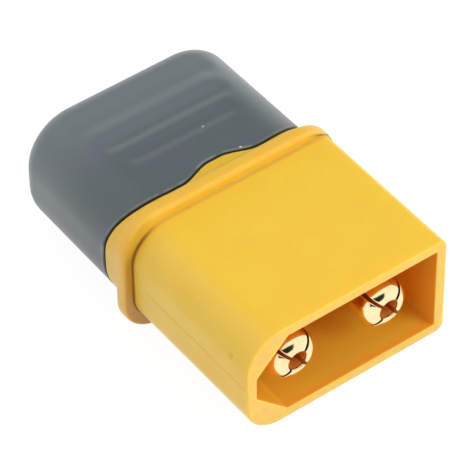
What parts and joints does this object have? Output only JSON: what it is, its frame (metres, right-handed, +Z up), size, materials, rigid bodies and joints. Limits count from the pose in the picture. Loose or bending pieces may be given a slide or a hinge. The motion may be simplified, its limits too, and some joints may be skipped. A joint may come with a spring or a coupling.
{
  "type": "xt60 connector",
  "caption": "Sheathed male power plug: keyed yellow shroud round slotted gold bullet contacts, wavy flange, grey push-on wire sheath with finger grips.",
  "frame": {"origin": "under the middle of the plug, on the plane that its flange stands on", "axes": "+Y along the contacts from the mating rim toward the wires, +X across both contacts away from the keyed end, +Z up out of a broad face"},
  "size_m": [0.0168, 0.0246, 0.0098],
  "materials": {
    "yellow_nylon": "smooth moulded nylon, satin",
    "gold_plated_brass": "turned and gold plated, polished",
    "grey_nylon": "finely eroded moulded nylon, matte"
  },
  "bodies": {
    "plug": {"male_housing": "yellow_nylon", "contact_left": "gold_plated_brass", "contact_right": "gold_plated_brass"},
    "sheath": {"rear_sheath": "grey_nylon"}
  },
  "joints": [
    {"name": "sheath_slide", "type": "slide", "parent": "plug", "child": "sheath", "axis": [0, 1, 0], "range_m": [0, 0.009]}
  ]
}
